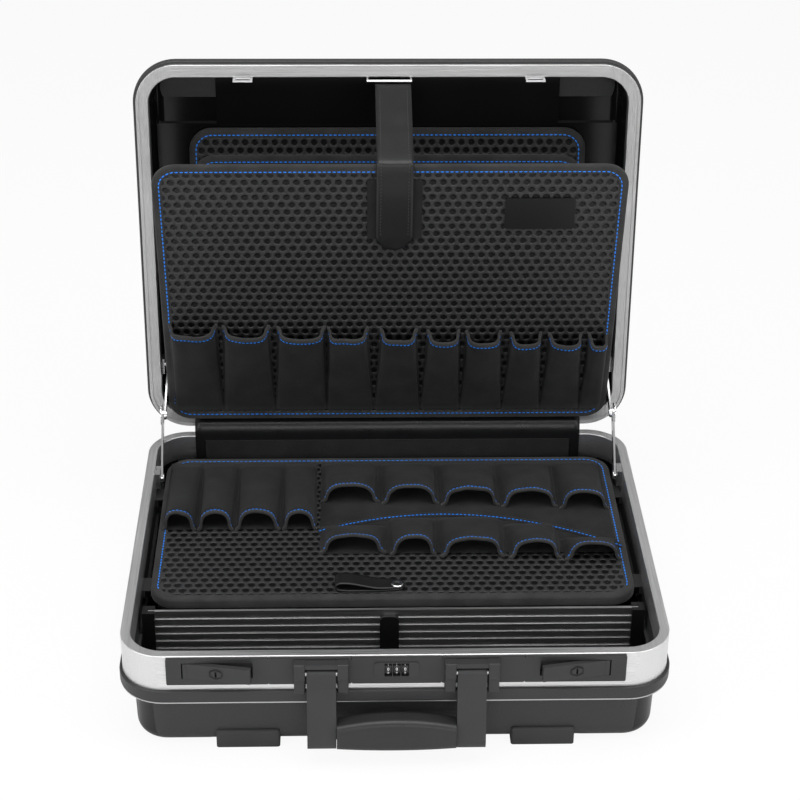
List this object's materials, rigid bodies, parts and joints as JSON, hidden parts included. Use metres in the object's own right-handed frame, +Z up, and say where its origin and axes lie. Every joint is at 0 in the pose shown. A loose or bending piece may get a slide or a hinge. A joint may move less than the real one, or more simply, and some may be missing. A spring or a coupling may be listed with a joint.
{
  "type": "tool case",
  "caption": "Hard black tool case standing open, with bright metal rims, locks and dials, a swing handle, pocket boards in lid and base, and a front bay behind a divider.",
  "frame": {"origin": "on the surface that the feet stand on, under the middle of the box that the open case fills", "axes": "+Z up, -Y towards the handle side, +X to the right seen from the handle side"},
  "size_m": [0.4754, 0.4783, 0.4782],
  "materials": {
    "shell_plastic": "black moulded plastic with a fine texture",
    "band_aluminium": "bright anodised",
    "foot_rubber": "matt black",
    "chrome": "polished",
    "steel": "satin",
    "black_plastic": "black",
    "board_fabric": "dimpled dark cloth",
    "pocket_fabric": "dark cloth with bound edges",
    "black_leather": "smooth black with a shine",
    "label_film": "plain dark label"
  },
  "bodies": {
    "case": {"base_shell": "shell_plastic", "base_frame": "band_aluminium", "base_feet": "foot_rubber", "base_hinge_leaves": "steel", "hinge_pins": "steel", "latch_housing_left": "black_plastic", "latch_housing_right": "black_plastic", "latch_pins": "steel", "lock_case_left": "black_plastic", "lock_case_right": "black_plastic", "combination_housing": "black_plastic", "dial_axle": "steel", "handle_bracket_left": "black_plastic", "handle_bracket_right": "black_plastic", "handle_pins": "steel", "stay_brackets_base": "steel", "divider_wall": "band_aluminium", "divider_clip": "black_plastic", "divider_end_clips": "black_plastic", "hook_strip": "black_leather", "hinge_cover": "black_leather"},
    "lid": {"lid_shell": "shell_plastic", "lid_frame": "band_aluminium", "lid_hinge_leaves": "steel", "lid_strikers": "chrome", "strap_ring": "chrome", "lid_board_rail": "band_aluminium", "lid_board_rear": "board_fabric", "stay_brackets_lid": "steel"},
    "board_carrier": {"lid_board_flap": "black_leather"},
    "front_board": {"lid_board_front": "board_fabric", "lid_pockets_left": "pocket_fabric", "lid_pockets_right": "pocket_fabric", "strap_patch": "black_leather", "label_patch": "label_film", "strap": "black_leather"},
    "middle_board": {"lid_board_middle": "board_fabric"},
    "tool_board": {"base_board": "board_fabric", "base_pockets_left": "pocket_fabric", "base_pockets_rear": "pocket_fabric", "base_pockets_front": "pocket_fabric", "base_seam_band": "black_leather", "pull_tab": "black_leather", "pull_tab_snap": "chrome"},
    "handle": {"handle_frame": "black_plastic", "handle_grip": "black_plastic"},
    "stay_lower_left": {"stay_lower_left": "steel"},
    "stay_upper_left": {"stay_upper_left": "steel"},
    "latch_left": {"latch_lever_left": "black_plastic"},
    "key_left": {"key_cylinder_left": "black_plastic"},
    "stay_lower_right": {"stay_lower_right": "steel"},
    "stay_upper_right": {"stay_upper_right": "steel"},
    "latch_right": {"latch_lever_right": "black_plastic"},
    "key_right": {"key_cylinder_right": "black_plastic"},
    "dial_1": {"dial_1": "black_plastic"},
    "dial_2": {"dial_2": "black_plastic"},
    "dial_3": {"dial_3": "black_plastic"}
  },
  "joints": [
    {"name": "lid_hinge", "type": "hinge", "parent": "case", "child": "lid", "pos_m": [0, 0.15749, 0.1035], "axis": [-1, 0, 0], "range_deg": [-94, 0], "deforming": ["hinge_cover"]},
    {"name": "lid_board_slide", "type": "slide", "parent": "lid", "child": "board_carrier", "axis": [0, 0.9976, -0.0698], "range_m": [0, 0.04521], "deforming": ["lid_board_flap"]},
    {"name": "lid_board_front_fold", "type": "hinge", "parent": "board_carrier", "child": "front_board", "pos_m": [0, 0.14553, 0.12599], "axis": [-1, 0, 0], "range_deg": [0, 15.01], "deforming": ["strap"]},
    {"name": "lid_board_middle_tilt", "type": "hinge", "parent": "lid", "child": "middle_board", "pos_m": [0, 0.19663, 0.12272], "axis": [1, 0, 0], "range_deg": [0, 12]},
    {"name": "tool_board_lift", "type": "hinge", "parent": "case", "child": "tool_board", "pos_m": [0, 0.12209, 0.083], "axis": [-1, 0, 0], "range_deg": [0, 60]},
    {"name": "handle_swing", "type": "hinge", "parent": "case", "child": "handle", "pos_m": [0, -0.22331, 0.09], "axis": [-1, 0, 0], "range_deg": [0, 100]},
    {"name": "stay_lower_left_turn", "type": "hinge", "parent": "case", "child": "stay_lower_left", "pos_m": [0, 0.0841, 0.093], "axis": [-1, 0, 0], "range_deg": [-96.84, 0]},
    {"name": "stay_upper_left_turn", "type": "hinge", "parent": "lid", "child": "stay_upper_left", "pos_m": [0, 0.18004, 0.16498], "axis": [-1, 0, 0], "range_deg": [0, 119.66]},
    {"name": "latch_left_tilt", "type": "hinge", "parent": "case", "child": "latch_left", "pos_m": [-0.1777, -0.2169, 0.09], "axis": [0, 0, -1], "range_deg": [-10, 20]},
    {"name": "key_left_turn", "type": "hinge", "parent": "latch_left", "child": "key_left", "pos_m": [-0.15141, -0.22154, 0.09], "axis": [-0.1736, -0.9848, 0], "range_deg": [0, 90]},
    {"name": "stay_lower_right_turn", "type": "hinge", "parent": "case", "child": "stay_lower_right", "pos_m": [0, 0.0841, 0.093], "axis": [-1, 0, 0], "range_deg": [-96.84, 0]},
    {"name": "stay_upper_right_turn", "type": "hinge", "parent": "lid", "child": "stay_upper_right", "pos_m": [0, 0.18004, 0.16498], "axis": [-1, 0, 0], "range_deg": [0, 119.66]},
    {"name": "latch_right_tilt", "type": "hinge", "parent": "case", "child": "latch_right", "pos_m": [0.1777, -0.2169, 0.09], "axis": [0, 0, 1], "range_deg": [-10, 20]},
    {"name": "key_right_turn", "type": "hinge", "parent": "latch_right", "child": "key_right", "pos_m": [0.15141, -0.22154, 0.09], "axis": [0.1736, -0.9848, 0], "range_deg": [0, 90]},
    {"name": "dial_1_turn", "type": "hinge", "parent": "case", "child": "dial_1", "pos_m": [-0.0071, -0.21401, 0.09], "axis": [1, 0, 0], "continuous": true},
    {"name": "dial_2_turn", "type": "hinge", "parent": "case", "child": "dial_2", "pos_m": [0, -0.21401, 0.09], "axis": [1, 0, 0], "continuous": true},
    {"name": "dial_3_turn", "type": "hinge", "parent": "case", "child": "dial_3", "pos_m": [0.0071, -0.21401, 0.09], "axis": [1, 0, 0], "continuous": true}
  ],
  "couplings": [
    {"joint": "lid_board_slide", "follows": "lid_hinge", "m_per_rad": -0.027551},
    {"joint": "lid_board_front_fold", "follows": "lid_hinge", "ratio": -0.15957},
    {"joint": "stay_lower_left_turn", "follows": "lid_hinge", "ratio": 1.0297},
    {"joint": "stay_upper_left_turn", "follows": "lid_hinge", "ratio": -1.2724},
    {"joint": "stay_lower_right_turn", "follows": "lid_hinge", "ratio": 1.0297},
    {"joint": "stay_upper_right_turn", "follows": "lid_hinge", "ratio": -1.2724}
  ]
}
